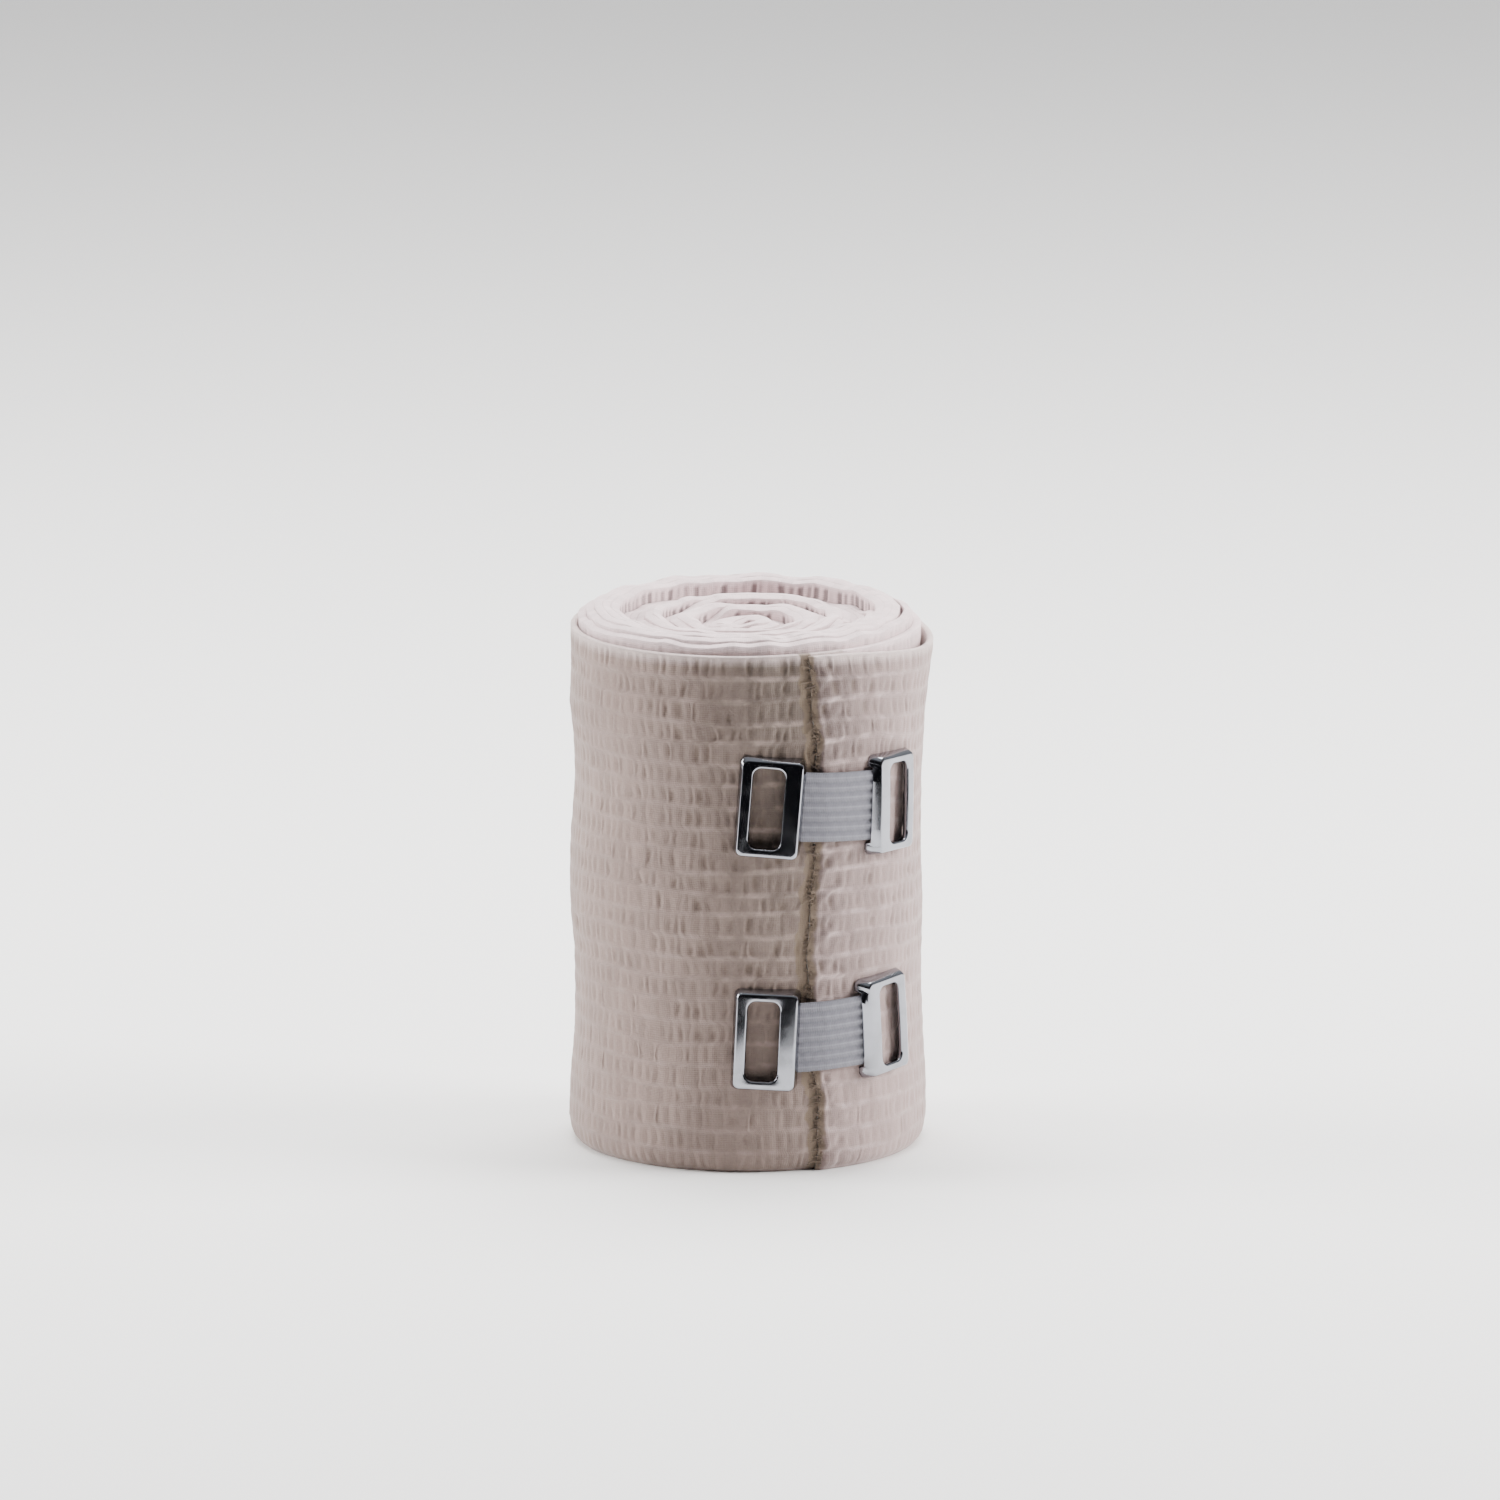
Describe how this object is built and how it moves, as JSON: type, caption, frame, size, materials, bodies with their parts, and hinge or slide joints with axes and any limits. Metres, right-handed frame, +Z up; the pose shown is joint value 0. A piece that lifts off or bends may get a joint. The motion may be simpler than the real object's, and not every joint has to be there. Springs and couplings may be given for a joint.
{
  "type": "rubber elastic bandage roll",
  "caption": "Wound crepe elastic bandage standing on end, its free end held by two stretch clips with windowed metal hooks.",
  "frame": {"origin": "centre of the roll's flat underside, on the roll's axis", "axes": "+Z up along the roll's axis; -Y is the front, where the free end is held by the clips; +X is to the right seen from the front"},
  "size_m": [0.0691, 0.0691, 0.104],
  "materials": {
    "bandage_cloth": "matte crepe weave of cotton and rubber yarns, pinkish beige, undyed",
    "hook_metal": "thin stamped steel with a bright nickel plating",
    "band_elastic": "ribbed woven elastic, greyish white"
  },
  "bodies": {
    "root": {"roll": "bandage_cloth", "loose_end": "bandage_cloth", "hook_upper_left": "hook_metal", "hook_upper_right": "hook_metal", "hook_lower_left": "hook_metal", "hook_lower_right": "hook_metal", "band_upper": "band_elastic", "band_lower": "band_elastic"}
  },
  "joints": []
}
